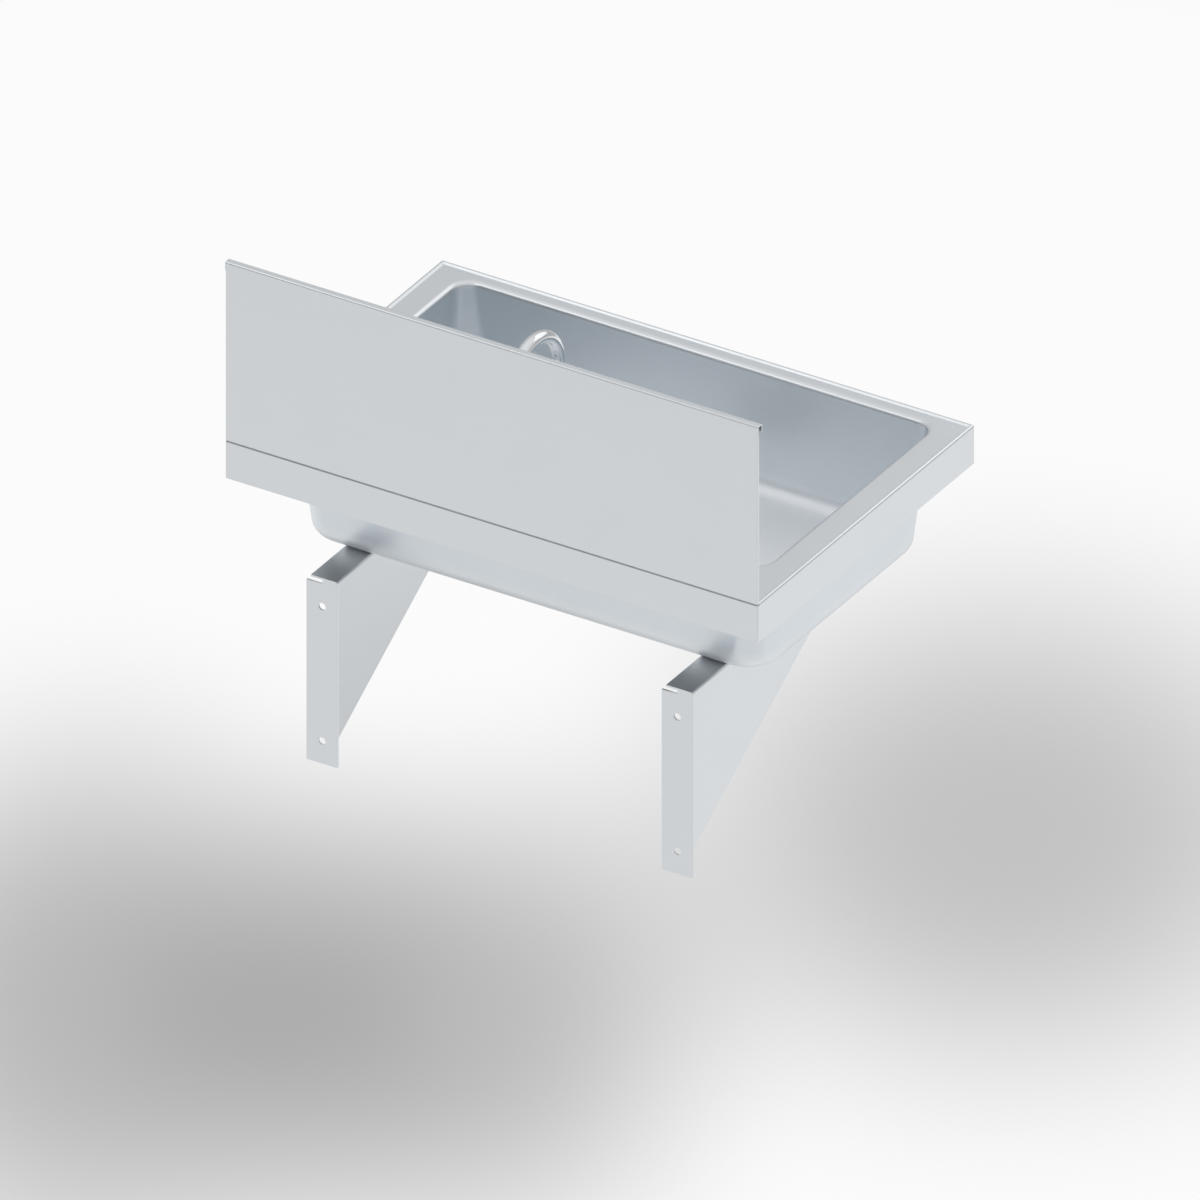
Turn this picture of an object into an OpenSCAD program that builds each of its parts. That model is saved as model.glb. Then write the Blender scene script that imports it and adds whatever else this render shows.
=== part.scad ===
// Wall-hung hand wash sink in folded stainless sheet, with a splashback, two wall brackets,
// a flush waste and a monobloc swan-neck tap with two quarter-turn levers.
// X runs along the wall, Y from the wall to the user, Z up.
// The origin is on the wall face, in the middle of the length, at the height of the rim.

/* [Top] */
// Length of the top along the wall
top_w = 600; // [580:5:900]
// Depth of the top from the wall face to the front
top_d = 400; // [396:2:560]
// Height of the folded apron, from the rim down
apron_h = 42.5; // [30:0.5:70]
// Thickness of the sheet of the top, bowl and splashback
sheet_t = 1.2; // [0.8:0.1:1.5]
// Outside bend radius along the rim and the apron corners
rim_bend_r = 2.2; // [1.7:0.1:2.4]
// Width of the rim, from its outside face to the foot of its inner slope
rim_band_w = 4.8; // [4.8:0.2:8]
// Width of the slope from rim to deck
rim_slope_w = 1.6; // [1.2:0.1:1.8]
// Height of the rim above the deck
rim_h = 1.8; // [1:0.1:2.4]

/* [Bowl] */
// Inside length of the bowl mouth
bowl_w = 532; // [460:2:548]
// Inside depth of the bowl mouth, from back to front
bowl_d = 316.5; // [280:0.5:318]
// Distance from the wall face to the back of the mouth
bowl_rear = 65; // [62:1:68]
// Depth of the bowl, from the deck to its floor
bowl_h = 128; // [100:1:180]
// Corner radius of the mouth
mouth_r = 20; // [15:1:30]
// Corner radius at the foot of the walls
foot_r = 38; // [25:1:50]
// How far the walls lean in between the mouth and the floor
wall_lean = 5; // [2:0.5:10]
// Inside radius between walls and floor
floor_r = 15; // [8:0.5:20]
// Bend radius of the lip round the mouth
lip_r = 3; // [2.2:0.1:3.5]
// Height of the collar that turns down from the deck to the bowl
collar_h = 6; // [4.5:0.5:10]

/* [Splashback] */
// Height of the splashback above the rim
splash_h = 198.5; // [100:0.5:300]
// Depth of the fold along the top edge
fold_d = 8; // [5:0.5:10]
// Outside bend radius of that fold
fold_bend_r = 1.7; // [1.6:0.1:2.4]
// Height of the turned-down front leg of that fold
fold_h = 9; // [6:0.5:15]
// Depth of the hems along the side edges
hem_d = 3.5; // [3.2:0.1:5]
// Width of the folded-back leg of those hems
hem_w = 12; // [8:0.5:20]

/* [Brackets] */
// Distance between the bolt holes along the wall
hole_pitch_x = 400; // [340:5:420]
// Distance between the bolt holes up the wall
hole_pitch_z = 150; // [100:5:155]
// Diameter of the bolt holes
hole_d = 8; // [6:0.5:10]
// Height of the lower holes above the foot of the bracket
hole_rise = 25; // [15:1:28]
// Width of the wall flange
bracket_w = 35; // [30:1:45]
// Height of the bracket
bracket_h = 207; // [200:1:260]
// Depth of the bracket from the wall
bracket_d = 275; // [200:5:300]
// Distance from the wall face to the back of the bracket
bracket_rear = 15; // [0:1:20]
// Sheet thickness of the bracket
bracket_t = 2; // [1.5:0.1:2.3]
// Outside bend radius of the bracket
bracket_bend_r = 2.4; // [2.4:0.1:5]
// Width of the flange under the bowl
seat_w = 30; // [25:1:32]
// Height of the slit between the seat flange and the wall flange
slit_h = 4.5; // [3:0.5:8]
// Width of the tab that closes the slit beside the web
tab_w = 17; // [12:1:20]
// Height of the wall flange left plain below the web
plain_h = 33; // [20:1:60]
// Height of the web's front end
nose_h = 5; // [4.5:0.5:20]

/* [Waste] */
// Radius of the pressed recess round the waste
recess_r = 42; // [41:0.5:50]
// Depth of that recess
recess_h = 4; // [3.6:0.1:6]
// Radius of the hole in the bowl
waste_hole_r = 26; // [25:0.5:28]
// Radius of the strainer flange
strainer_r = 39; // [37:0.5:40]
// Thickness of the strainer flange
strainer_t = 1.8; // [1.2:0.1:2]
// Radius of the small holes in the strainer
grate_r = 2.6; // [1.5:0.1:2.8]
// Radius of the waste's threaded tail
tail_r = 23.9; // [20:0.1:24.5]
// Wall thickness of that tail
tail_t = 2.6; // [2:0.1:4]
// Length of the tail below its cup
tail_h = 45; // [20:1:55]
// Radius of the waste's centre screw
waste_screw_r = 3; // [2.5:0.1:3.2]

/* [Tap body] */
// Distance from the wall face to the tap's axis
tap_y = 31.5; // [31:0.5:33]
// Radius of the tap hole in the deck
tap_hole_r = 17.5; // [17.2:0.1:18]
// Radius of the threaded shank
shank_r = 16.4; // [16:0.1:16.8]
// Length of the shank below the tap's base
shank_drop = 43; // [25:1:48]
// Bore radius of the shank
shank_bore_r = 14; // [13.8:0.1:14.4]
// Radius of the tap's base
base_r = 23; // [22:0.5:24]
// Radius of the upright body
body_r = 19; // [17:0.5:20]
// Height of the upright body above its gasket
body_h = 61; // [57:1:80]
// Height of the valves' axis above the gasket
valve_rise = 34; // [28:1:36]
// Radius of the side barrels
barrel_r = 15; // [14.5:0.1:16]
// Distance from the tap's axis to a barrel's end
barrel_u = 38; // [36:0.5:44]
// Radius of the inlet sockets
inlet_r = 4.5; // [4:0.1:4.6]
// Depth of the inlet sockets
inlet_h = 13; // [10:1:15]
// Distance of the inlets from the tap's axis
inlet_u = 9; // [8.8:0.1:9.2]

/* [Spout] */
// Outside radius of the spout tube
spout_r = 6.5; // [6:0.1:7]
// Wall of the spout tube
spout_t = 1.2; // [0.8:0.1:1.6]
// Reach from the tap's axis to the outlet
spout_reach = 92; // [80:1:140]
// Height of the arch's centre above the deck
arch_rise = 118.7; // [116:0.1:220]
// Height of the arch's centre above the end of the tube
leg_drop = 19; // [12:1:26]
// Radius of the nozzle
nozzle_r = 9; // [8.8:0.1:11]
// Limit of the spout's swivel to each side, in degrees
swivel_limit = 60; // [30:5:80]

/* [Levers] */
// Radius of a lever's hub
hub_r = 15; // [15:0.1:16]
// Length of a lever from the valve's axis to its tip
lever_len = 62; // [50:1:80]
// Radius of a lever at its hub
lever_root_r = 6; // [5:0.1:7]
// Radius of a lever at its tip
lever_tip_r = 4.4; // [3.5:0.1:5]
// Outward lean of the levers, in degrees
lever_lean = 7; // [0:1:12]

/* [Hidden] */
$fn = 64;

// Overrun of cuts past a face
cut = 1;
// Thickness of the slices that a hull joins
slice_t = 0.02;
// Radial clearance of a turning fit
turn_gap = 0.05;
// Radial clearance of a fixed thread or spigot
fit_gap = 0.1;
// Clearance between faces that slide on each other
face_gap = 0.05;
// Corner radius of a hexagon for each unit across its flats
hex_corner_share = 1 / sqrt(3);

// Heights and places of the sheet metal
deck_z = -rim_h;
floor_z = deck_z - bowl_h;
under_z = floor_z - sheet_t;
bowl_y = bowl_rear + bowl_d / 2;
deck_w = top_w - 2 * rim_band_w;
deck_d = top_d - 2 * rim_band_w;
slope_grow = sheet_t * tan(atan2(rim_h, rim_slope_w) / 2);
collar_z = deck_z - collar_h;
bracket_foot_z = under_z - bracket_h;
steel = [0.80, 0.83, 0.86];
chrome = [0.86, 0.87, 0.89];
brass = [0.78, 0.62, 0.30];
rubber = [0.13, 0.13, 0.14];
plastic = [0.88, 0.88, 0.86];

// Waste, from the bowl floor down
recess_slope_w = 2;
recess_z = floor_z - recess_h;
seal_t = 1.5;
strainer_z = recess_z + seal_t;
strainer_boss_r = 7;
inner_ring_share = 0.4;
outer_ring_share = 0.77;
inner_grate_n = 6;
outer_grate_n = 12;
lower_seal_t = 2.5;
waste_flange_r = 36;
waste_flange_t = 3;
waste_flange_z = recess_z - sheet_t - lower_seal_t;
cup_r = 29;
cup_h = 14;
waste_floor_z = waste_flange_z - waste_flange_t - cup_h;
spider_h = 8;
spider_t = 3;
spider_n = 3;
screw_head_r = 5.6;
screw_head_h = 2.2;
slot_w = 1.2;
slot_h = 1;

// Tap, from the deck up and down
gasket_t = 1;
gasket_r = 22;
base_z = deck_z + gasket_t;
base_h = 5;
base_taper_h = 6;
shoulder_h = 3;
shoulder_in = 2.5;
neck_r = 12.5;
neck_h = 10;
neck_z = base_z + body_h;
neck_top_z = neck_z + neck_h;
shank_socket_h = 8;
deck_under_z = deck_z - sheet_t;
washer_r = 23.5;
rubber_washer_t = 3;
metal_washer_t = 1.5;
back_nut_af = 41;
back_nut_h = 7;
valve_z = base_z + valve_rise;
chamber_r = 4;
passage_r = 3;

// Spout fittings
ferrule_r = 8.95;
ferrule_bore_r = spout_r + turn_gap;
socket_r = ferrule_r + turn_gap;
flange_r = 11;
flange_h = 2.8;
slip_ring_t = 1.1;
flange_z = neck_top_z - slip_ring_t - 2 * face_gap - flange_h;
socket_h = 18;
socket_z = flange_z - face_gap - socket_h;
ferrule_z = socket_z + face_gap;
tube_seat_h = 2;
ring_r = 0.9;
ring_rise_shares = [0.35, 0.7];
nut_r = 15;
nut_lip_h = 3;
nut_bore_r = spout_r + 5 * fit_gap;
nut_chamfer = 1;
arch_r = spout_reach / 2;
arch_z = deck_z + arch_rise;
leg_z = arch_z - leg_drop;
bush_h = 14;
bush_grip_h = 8;
thread_r = 7.9;
aerator_washer_t = 1;
shell_h = 10;
shell_spigot_h = bush_h - bush_grip_h - aerator_washer_t;
shell_lip_h = 1.5;
shell_lip_r = 6;
insert_r = 6.9;
insert_hole_r = 0.75;
insert_step = 2.3;
insert_rings = 2;
bush_z = leg_z - (bush_h - bush_grip_h);
shell_z = bush_z - shell_h;

// Valves, measured outward from the tap's axis
seat_u = 14;
valve_r = 9.5;
bonnet_r = valve_r - fit_gap;
disc_r = 8.5;
disc_t = 3;
valve_seal_t = 1.2;
port_r = 2;
port_off = 4.2;
fixed_u = seat_u + valve_seal_t;
turning_u = fixed_u + disc_t + face_gap / 2;
head_u = turning_u + disc_t + face_gap / 2;
head_h = 3;
head_r = disc_r - 2 * turn_gap;
sleeve_r = disc_r + turn_gap;
bonnet_step_u = head_u + head_h + face_gap;
spindle_r = 4;
spindle_ring_r = 0.9;
spindle_ring_u = bonnet_step_u + spindle_r;
window_r = 1.3;
window_u = head_u + head_h / 2;
groove_h = 1;
outlet_r = 1.5;
outlet_z = valve_z + valve_r - passage_r;
tongue_w = 3;
tongue_h = 1;
hex_af = 22;
hex_h = 4;
bonnet_neck_r = 6.5;
bonnet_neck_h = 3.5;
hub_gap = 0.5;
hub_u = barrel_u + hub_gap;
hub_cavity_r = hex_af * hex_corner_share + 4 * fit_gap;
hub_web_u = barrel_u + hex_h + bonnet_neck_h + hub_gap;
hub_web_h = 6;
spindle_end_u = hub_web_u + hub_web_h - hub_gap;
plug_r = 5.4;
plug_t = 1;
plug_seat_h = 3;
hub_end_u = hub_web_u + hub_web_h + plug_seat_h;
hub_chamfer = 2;
lever_screw_r = 2;
lever_screw_head_r = 3.8;
lever_screw_head_h = 1.8;
lever_screw_len = 9;

// A plate outline with rounded corners, about the middle
module plate_2d(w, d, r) {
    square([w - 2 * r, d], center = true);
    square([w, d - 2 * r], center = true);
    for (x = [-1, 1], y = [-1, 1])
        translate([x * (w / 2 - r), y * (d / 2 - r)])
            circle(r = r);
}

// A round bar with its ends on the Z axis, from height z0 to z1
module disc(r, z0, z1) {
    translate([0, 0, z0])
        cylinder(r = r, h = z1 - z0);
}

// A ring or pipe about the Z axis
module ring(r_out, r_in, z0, z1) {
    difference() {
        disc(r_out, z0, z1);
        disc(r_in, z0 - cut, z1 + cut);
    }
}

// A hexagon bar, measured across its flats
module hexagon(af, z0, z1) {
    translate([0, 0, z0])
        cylinder(r = af * hex_corner_share, h = z1 - z0, $fn = 6);
}

// A quarter of a bent sheet: outside radius r, centred on the origin, in the corner -x +y
module bend_2d(r, t) {
    intersection() {
        difference() {
            circle(r = r);
            circle(r = r - t);
        }
        translate([-r, 0])
            square(r);
    }
}

// Section of the rim's outer bend and its apron; x runs outward from the bend's axis
module apron_section() {
    translate([0, -rim_bend_r])
        mirror([1, 0])
            bend_2d(rim_bend_r, sheet_t);
    translate([rim_bend_r - sheet_t, -apron_h])
        square([sheet_t, apron_h - rim_bend_r]);
}

// The shallow pan between the rims, from its floor at height z up to z1
module deck_pan(grow, z, z1) {
    lean = rim_slope_w / rim_h * (z1 - z);
    w = deck_w + 2 * grow;
    d = deck_d + 2 * grow;
    hull() {
        translate([-w / 2, -d / 2, z])
            cube([w, d, slice_t]);
        translate([-w / 2 - lean, -d / 2 - lean, z1 - slice_t])
            cube([w + 2 * lean, d + 2 * lean, slice_t]);
    }
}

// Sweeps a section round a plate w by d with corners of radius r; its x runs outward from the edge
module sweep_round(w, d, r) {
    for (i = [0 : 3]) {
        across = i % 2 == 0 ? w / 2 : d / 2;
        along = (i % 2 == 0 ? d : w) - 2 * r;
        rotate([0, 0, 90 * i]) {
            translate([across, along / 2, 0])
                rotate([90, 0, 0])
                    linear_extrude(along)
                        children();
            translate([across - r, along / 2, 0])
                rotate_extrude(angle = 90)
                    translate([r, 0])
                        children();
        }
    }
}

module sink_top() {
    rim_w = top_w - 2 * rim_bend_r;
    rim_d = top_d - 2 * rim_bend_r;
    color(steel) {
        difference() {
            translate([0, top_d / 2, 0])
                difference() {
                    union() {
                        translate([-rim_w / 2, -rim_d / 2, -sheet_t])
                            cube([rim_w, rim_d, sheet_t]);
                        deck_pan(slope_grow, deck_under_z, -sheet_t);
                    }
                    deck_pan(0, deck_z, cut);
                }
            translate([0, bowl_y, deck_under_z - cut])
                linear_extrude(sheet_t + rim_h + 2 * cut)
                    plate_2d(bowl_w + 2 * lip_r, bowl_d + 2 * lip_r, mouth_r + lip_r);
            translate([0, tap_y, 0])
                disc(tap_hole_r, deck_under_z - cut, cut);
        }
        translate([0, top_d / 2, 0])
            sweep_round(rim_w, rim_d, 0)
                apron_section();
        translate([0, bowl_y, 0])
            sweep_round(bowl_w, bowl_d, mouth_r) {
                translate([lip_r, deck_z - lip_r])
                    bend_2d(lip_r, sheet_t);
                translate([0, collar_z])
                    square([sheet_t, collar_h - lip_r]);
            }
    }
}

// The bowl as a solid form, grown outward by a sheet's thickness or not at all
module bowl_form(grow) {
    hull() {
        for (x = [-1, 1], y = [-1, 1]) {
            translate([x * (bowl_w / 2 - mouth_r), y * (bowl_d / 2 - mouth_r), collar_z - slice_t])
                cylinder(r = mouth_r + grow, h = slice_t, $fn = 48);
            translate([x * (bowl_w / 2 - wall_lean - foot_r), y * (bowl_d / 2 - wall_lean - foot_r),
                floor_z + floor_r])
                rotate_extrude($fn = 48)
                    translate([foot_r - floor_r, 0])
                        circle(r = floor_r + grow, $fn = 40);
        }
    }
}

module bowl() {
    color(steel)
        translate([0, bowl_y, 0])
            difference() {
                union() {
                    difference() {
                        bowl_form(sheet_t);
                        bowl_form(0);
                        translate([0, 0, collar_z - slice_t])
                            linear_extrude(2 * slice_t)
                                plate_2d(bowl_w, bowl_d, mouth_r);
                    }
                    disc(recess_r + sheet_t, recess_z - sheet_t, floor_z - sheet_t / 2);
                }
                translate([0, 0, recess_z])
                    cylinder(r1 = recess_r - recess_slope_w, r2 = recess_r, h = recess_h);
                disc(recess_r, floor_z - slice_t, floor_z + sheet_t);
                disc(waste_hole_r, recess_z - sheet_t - cut, recess_z + cut);
            }
}

// Section of the splashback from back to front, with the fold along its top
module splash_section() {
    square([sheet_t, splash_h - fold_bend_r]);
    translate([fold_bend_r, splash_h - fold_bend_r])
        bend_2d(fold_bend_r, sheet_t);
    translate([fold_bend_r, splash_h - sheet_t])
        square([fold_d - 2 * fold_bend_r, sheet_t]);
    translate([fold_d - fold_bend_r, splash_h - fold_bend_r])
        mirror([1, 0])
            bend_2d(fold_bend_r, sheet_t);
    translate([fold_d - sheet_t, splash_h - fold_h])
        square([sheet_t, fold_h - fold_bend_r]);
}

// Section of a side hem, seen from above, for the edge at +x
module hem_section() {
    translate([top_w / 2 - hem_d / 2, hem_d / 2])
        intersection() {
            difference() {
                circle(r = hem_d / 2);
                circle(r = hem_d / 2 - sheet_t);
            }
            translate([0, -hem_d / 2])
                square([hem_d / 2, hem_d]);
        }
    translate([top_w / 2 - hem_d / 2 - hem_w, hem_d - sheet_t])
        square([hem_w, sheet_t]);
}

module splashback() {
    color(steel) {
        translate([-top_w / 2 + hem_d / 2, 0, 0])
            rotate([90, 0, 90])
                linear_extrude(top_w - hem_d)
                    splash_section();
        for (side = [0, 1])
            mirror([side, 0, 0]) {
                linear_extrude(splash_h - fold_h)
                    hem_section();
                translate([top_w / 2 - hem_d / 2, 0, 0])
                    rotate([90, 0, 90])
                        linear_extrude(hem_d / 2)
                            intersection() {
                                splash_section();
                                translate([0, splash_h - fold_h])
                                    square([fold_d, fold_h]);
                            }
            }
    }
}

// A wall bracket with its web at +x, in its own frame: x = 0 on the bolt line, z = 0 at its foot
module bracket() {
    flat_x = bracket_w / 2 - bracket_bend_r;
    bend_z = bracket_h - bracket_bend_r;
    seat_z = bracket_h - bracket_t;
    color(steel) {
        // wall flange, with the tab that reaches up to the seat flange
        translate([0, bracket_t, 0])
            rotate([90, 0, 0])
                linear_extrude(bracket_t)
                    difference() {
                        union() {
                            translate([-bracket_w / 2, 0])
                                square([flat_x + bracket_w / 2, seat_z - slit_h]);
                            translate([bracket_w / 2 - tab_w, seat_z - slit_h])
                                square([tab_w - bracket_bend_r, slit_h]);
                        }
                        for (i = [0, 1])
                            translate([0, hole_rise + i * hole_pitch_z])
                                circle(d = hole_d);
                    }
        // bend between wall flange and web
        translate([flat_x, bracket_bend_r, 0])
            linear_extrude(bend_z)
                rotate(180)
                    bend_2d(bracket_bend_r, bracket_t);
        // web
        translate([bracket_w / 2 - bracket_t, 0, 0])
            rotate([90, 0, 90])
                linear_extrude(bracket_t)
                    polygon([[bracket_bend_r, plain_h], [bracket_d, bracket_h - nose_h],
                        [bracket_d, bend_z], [bracket_bend_r, bend_z]]);
        // bend between web and seat flange
        translate([flat_x, bracket_d, bend_z])
            rotate([90, 0, 0])
                linear_extrude(bracket_d)
                    mirror([1, 0])
                        bend_2d(bracket_bend_r, bracket_t);
        // seat flange
        translate([bracket_w / 2 - seat_w, 0, seat_z])
            cube([seat_w - bracket_bend_r, bracket_d, bracket_t]);
    }
}

module place_bracket(side) {
    translate([side * hole_pitch_x / 2, bracket_rear, bracket_foot_z])
        bracket();
}

module waste_strainer() {
    color(chrome)
        translate([0, bowl_y, 0])
            difference() {
                union() {
                    disc(strainer_r - strainer_t / 2, strainer_z, strainer_z + strainer_t);
                    translate([0, 0, strainer_z + strainer_t / 2])
                        rotate_extrude()
                            translate([strainer_r - strainer_t / 2, 0])
                                circle(r = strainer_t / 2, $fn = 24);
                }
                disc(waste_screw_r + fit_gap, strainer_z - cut, strainer_z + strainer_t + cut);
                grate(inner_grate_n, inner_ring_share * waste_hole_r);
                grate(outer_grate_n, outer_ring_share * waste_hole_r);
            }
}

// One ring of round holes through the strainer
module grate(n, r) {
    for (i = [0 : n - 1])
        rotate([0, 0, 360 / n * i])
            translate([r, 0, 0])
                disc(grate_r, strainer_z - cut, strainer_z + strainer_t + cut);
}

module waste_screw() {
    head_z = strainer_z + strainer_t;
    color(chrome)
        translate([0, bowl_y, 0])
            difference() {
                union() {
                    disc(waste_screw_r, waste_floor_z + spider_h / 4, head_z);
                    disc(screw_head_r, head_z, head_z + screw_head_h / 2);
                    translate([0, 0, head_z + screw_head_h / 2])
                        cylinder(r1 = screw_head_r, r2 = waste_screw_r, h = screw_head_h / 2);
                }
                translate([0, 0, head_z + screw_head_h])
                    cube([2 * screw_head_r, slot_w, 2 * slot_h], center = true);
            }
}

module waste_upper_seal() {
    color(rubber)
        translate([0, bowl_y, 0])
            ring(strainer_r - strainer_t, waste_hole_r, recess_z, strainer_z);
}

module waste_lower_seal() {
    color(rubber)
        translate([0, bowl_y, 0])
            ring(waste_flange_r, waste_hole_r, waste_flange_z, recess_z - sheet_t);
}

module waste_body() {
    cup_z = waste_flange_z - waste_flange_t;
    color(plastic)
        translate([0, bowl_y, 0]) {
            difference() {
                union() {
                    disc(waste_flange_r, cup_z, waste_flange_z);
                    translate([0, 0, waste_floor_z])
                        cylinder(r1 = tail_r, r2 = cup_r, h = cup_h);
                    disc(tail_r, waste_floor_z - tail_h, waste_floor_z);
                }
                disc(waste_hole_r, cup_z - slice_t, waste_flange_z + cut);
                translate([0, 0, waste_floor_z])
                    cylinder(r1 = tail_r - tail_t, r2 = waste_hole_r, h = cup_h);
                disc(tail_r - tail_t, waste_floor_z - tail_h - cut, waste_floor_z + slice_t);
            }
            difference() {
                union() {
                    disc(strainer_boss_r, waste_floor_z, waste_floor_z + spider_h);
                    for (i = [0 : spider_n - 1])
                        rotate([0, 0, 360 / spider_n * i])
                            translate([0, -spider_t / 2, waste_floor_z])
                                cube([tail_r - tail_t / 2, spider_t, spider_h / 2]);
                }
                disc(waste_screw_r + fit_gap, waste_floor_z - cut, waste_floor_z + spider_h + cut);
            }
        }
}

module tap_body() {
    color(chrome)
        translate([0, tap_y, 0])
            difference() {
                union() {
                    disc(base_r, base_z, base_z + base_h);
                    translate([0, 0, base_z + base_h])
                        cylinder(r1 = base_r, r2 = body_r, h = base_taper_h);
                    disc(body_r, base_z + base_h, neck_z - shoulder_h);
                    translate([0, 0, neck_z - shoulder_h])
                        cylinder(r1 = body_r, r2 = body_r - shoulder_in, h = shoulder_h);
                    disc(neck_r, neck_z - shoulder_h, neck_top_z);
                    translate([0, 0, valve_z])
                        rotate([0, 90, 0])
                            cylinder(r = barrel_r, h = 2 * barrel_u, center = true);
                }
                disc(shank_r + fit_gap, base_z - cut, base_z + shank_socket_h);
                disc(socket_r, socket_z, neck_top_z + cut);
                disc(flange_r + fit_gap, flange_z - face_gap, neck_top_z + cut);
                for (side = [-1, 1]) {
                    translate([side * inlet_u, 0, 0]) {
                        disc(inlet_r, base_z, base_z + shank_socket_h + inlet_h);
                        disc(passage_r, base_z, valve_z);
                    }
                    at_valve(side) {
                        disc(valve_r, seat_u, barrel_u + cut);
                        disc(chamber_r, inlet_u - passage_r, seat_u + cut);
                        disc(valve_r + groove_h, window_u - window_r, window_u + window_r);
                    }
                    // from the groove round each valve up into the spout's socket
                    translate([side * window_u, 0, outlet_z])
                        rotate([0, -side * atan2(window_u, socket_z - outlet_z), 0])
                            cylinder(r = outlet_r, h = norm([window_u, socket_z - outlet_z]));
                }
            }
}

// Puts children on a valve's axis, with local z outward from the tap's axis
module at_valve(side) {
    translate([0, 0, valve_z])
        rotate([0, side * 90, 0])
            children();
}

module tap_base_gasket() {
    color(rubber)
        translate([0, tap_y, 0])
            ring(gasket_r, tap_hole_r, deck_z, base_z);
}

module tap_shank() {
    color(brass)
        translate([0, tap_y, 0])
            ring(shank_r, shank_bore_r, base_z - shank_drop, base_z + shank_socket_h);
}

module tap_rubber_washer() {
    color(rubber)
        translate([0, tap_y, 0])
            ring(washer_r, tap_hole_r, deck_under_z - rubber_washer_t, deck_under_z);
}

module tap_metal_washer() {
    top_z = deck_under_z - rubber_washer_t;
    color(steel)
        translate([0, tap_y, 0])
            ring(washer_r, tap_hole_r, top_z - metal_washer_t, top_z);
}

module tap_back_nut() {
    top_z = deck_under_z - rubber_washer_t - metal_washer_t;
    color(brass)
        translate([0, tap_y, 0])
            difference() {
                hexagon(back_nut_af, top_z - back_nut_h, top_z);
                disc(shank_r + fit_gap, top_z - back_nut_h - cut, top_z + cut);
            }
}

// The spout's centre line drawn as a round bar: riser, arch and leg
module spout_bar(r, over) {
    riser_z = ferrule_z + tube_seat_h;
    disc(r, riser_z - over, arch_z);
    translate([0, arch_r, arch_z])
        rotate([90, 0, 90])
            rotate_extrude(angle = 180)
                translate([arch_r, 0])
                    circle(r = r);
    translate([0, spout_reach, 0])
        disc(r, leg_z - over, arch_z);
}

module spout_tube() {
    color(chrome)
        translate([0, tap_y, 0])
            difference() {
                spout_bar(spout_r, 0);
                spout_bar(spout_r - spout_t, cut);
            }
}

module spout_ferrule() {
    color(brass)
        translate([0, tap_y, 0])
            difference() {
                union() {
                    disc(ferrule_r, ferrule_z, flange_z);
                    disc(flange_r, flange_z, flange_z + flange_h);
                }
                disc(spout_r - spout_t, ferrule_z - cut, ferrule_z + tube_seat_h);
                disc(ferrule_bore_r, ferrule_z + tube_seat_h, flange_z + flange_h + cut);
                for (share = ring_rise_shares)
                    ring(ferrule_r + cut, ferrule_r - 2 * ring_r - face_gap,
                        ring_z(share) - ring_r - face_gap, ring_z(share) + ring_r + face_gap);
            }
}

function ring_z(share) = ferrule_z + share * socket_h;

module spout_rings() {
    color(rubber)
        translate([0, tap_y, 0])
            for (share = ring_rise_shares)
                translate([0, 0, ring_z(share)])
                    rotate_extrude()
                        translate([ferrule_r - ring_r, 0])
                            circle(r = ring_r, $fn = 24);
}

module spout_slip_ring() {
    ring_base_z = flange_z + flange_h + face_gap;
    color(plastic)
        translate([0, tap_y, 0])
            ring(flange_r, ferrule_bore_r, ring_base_z, ring_base_z + slip_ring_t);
}

module spout_nut() {
    color(chrome)
        translate([0, tap_y, 0])
            difference() {
                union() {
                    disc(nut_r, neck_z, neck_top_z + nut_lip_h - nut_chamfer);
                    translate([0, 0, neck_top_z + nut_lip_h - nut_chamfer])
                        cylinder(r1 = nut_r, r2 = nut_r - nut_chamfer, h = nut_chamfer);
                }
                disc(neck_r + fit_gap, neck_z - cut, neck_top_z);
                disc(nut_bore_r, neck_top_z - cut, neck_top_z + nut_lip_h + cut);
            }
}

module at_outlet() {
    translate([0, tap_y + spout_reach, 0])
        children();
}

module nozzle_bush() {
    color(chrome)
        at_outlet()
            difference() {
                disc(nozzle_r, bush_z, bush_z + bush_h);
                disc(thread_r + fit_gap, bush_z - cut, leg_z);
                disc(ferrule_bore_r, leg_z - cut, bush_z + bush_h + cut);
            }
}

module aerator_washer() {
    color(rubber)
        at_outlet()
            ring(thread_r, spout_r - spout_t, leg_z - aerator_washer_t, leg_z);
}

module aerator_insert() {
    top_z = bush_z + shell_spigot_h;
    color(plastic)
        at_outlet()
            difference() {
                disc(insert_r - fit_gap, shell_z + shell_lip_h, top_z);
                disc(insert_hole_r, shell_z, top_z + cut);
                for (k = [1 : insert_rings])
                    for (i = [0 : 6 * k - 1])
                        rotate([0, 0, 60 / k * i])
                            translate([k * insert_step, 0, 0])
                                disc(insert_hole_r, shell_z, top_z + cut);
            }
}

module aerator_shell() {
    color(chrome)
        at_outlet()
            difference() {
                union() {
                    disc(nozzle_r, shell_z, bush_z);
                    disc(thread_r, bush_z, bush_z + shell_spigot_h);
                }
                disc(shell_lip_r, shell_z - cut, shell_z + shell_lip_h + slice_t);
                disc(insert_r, shell_z + shell_lip_h, bush_z + shell_spigot_h + cut);
            }
}

// Puts children on a valve's axis of the tap, side 1 for hot and -1 for cold
module valve_frame(side) {
    translate([0, tap_y, 0])
        at_valve(side)
            children();
}

// The two water ports of a disc
module ports(u) {
    for (y = [-1, 1])
        translate([0, y * port_off, 0])
            disc(port_r, u - cut, u + disc_t + cut);
}

module valve_seal(side) {
    color(rubber)
        valve_frame(side)
            ring(disc_r, chamber_r, seat_u, fixed_u);
}

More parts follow.
